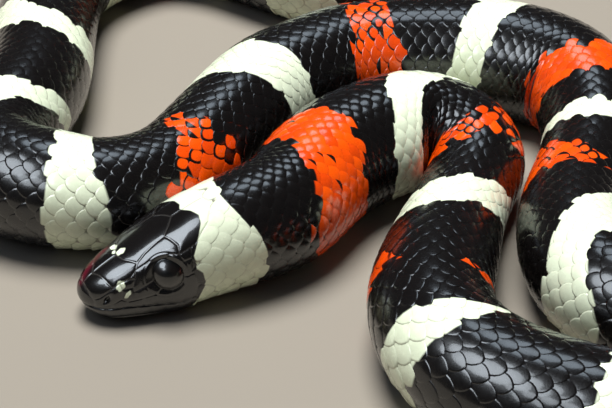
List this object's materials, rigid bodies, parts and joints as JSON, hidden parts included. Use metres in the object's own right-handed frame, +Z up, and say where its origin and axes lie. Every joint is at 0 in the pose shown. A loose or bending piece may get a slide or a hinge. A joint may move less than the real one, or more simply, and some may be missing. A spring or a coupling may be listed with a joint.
{
  "type": "milk snake",
  "caption": "Slender life-size milk snake at rest in flat loops on the floor, with a smooth head, round eyes, closed mouth and tapering tail.",
  "frame": {"origin": "middle of the base of the box round the whole animal, on the floor", "axes": "+Z up; +Y is the way the camera of the picture looks, so the head points to -X and -Y and the tail lies at +Y"},
  "size_m": [0.1152, 0.1422, 0.0129],
  "materials": {
    "head_plates": "very glossy black head plates",
    "neck_scales": "glossy cream scales, turning black",
    "body_scales": "glossy black scales crossed by cream and orange bands",
    "eye": "wet, near-black eye"
  },
  "bodies": {
    "root": {"head": "head_plates", "jaw": "head_plates", "eye_left": "eye", "eye_right": "eye", "neck": "neck_scales", "body_01": "body_scales", "body_02": "body_scales", "body_03": "body_scales", "body_04": "body_scales", "body_05": "body_scales", "body_06": "body_scales", "body_07": "body_scales", "body_08": "body_scales", "body_09": "body_scales", "body_10": "body_scales", "body_11": "body_scales", "body_12": "body_scales", "body_13": "body_scales", "body_14": "body_scales", "body_15": "body_scales", "tail_1": "body_scales", "tail_2": "body_scales"}
  },
  "joints": []
}
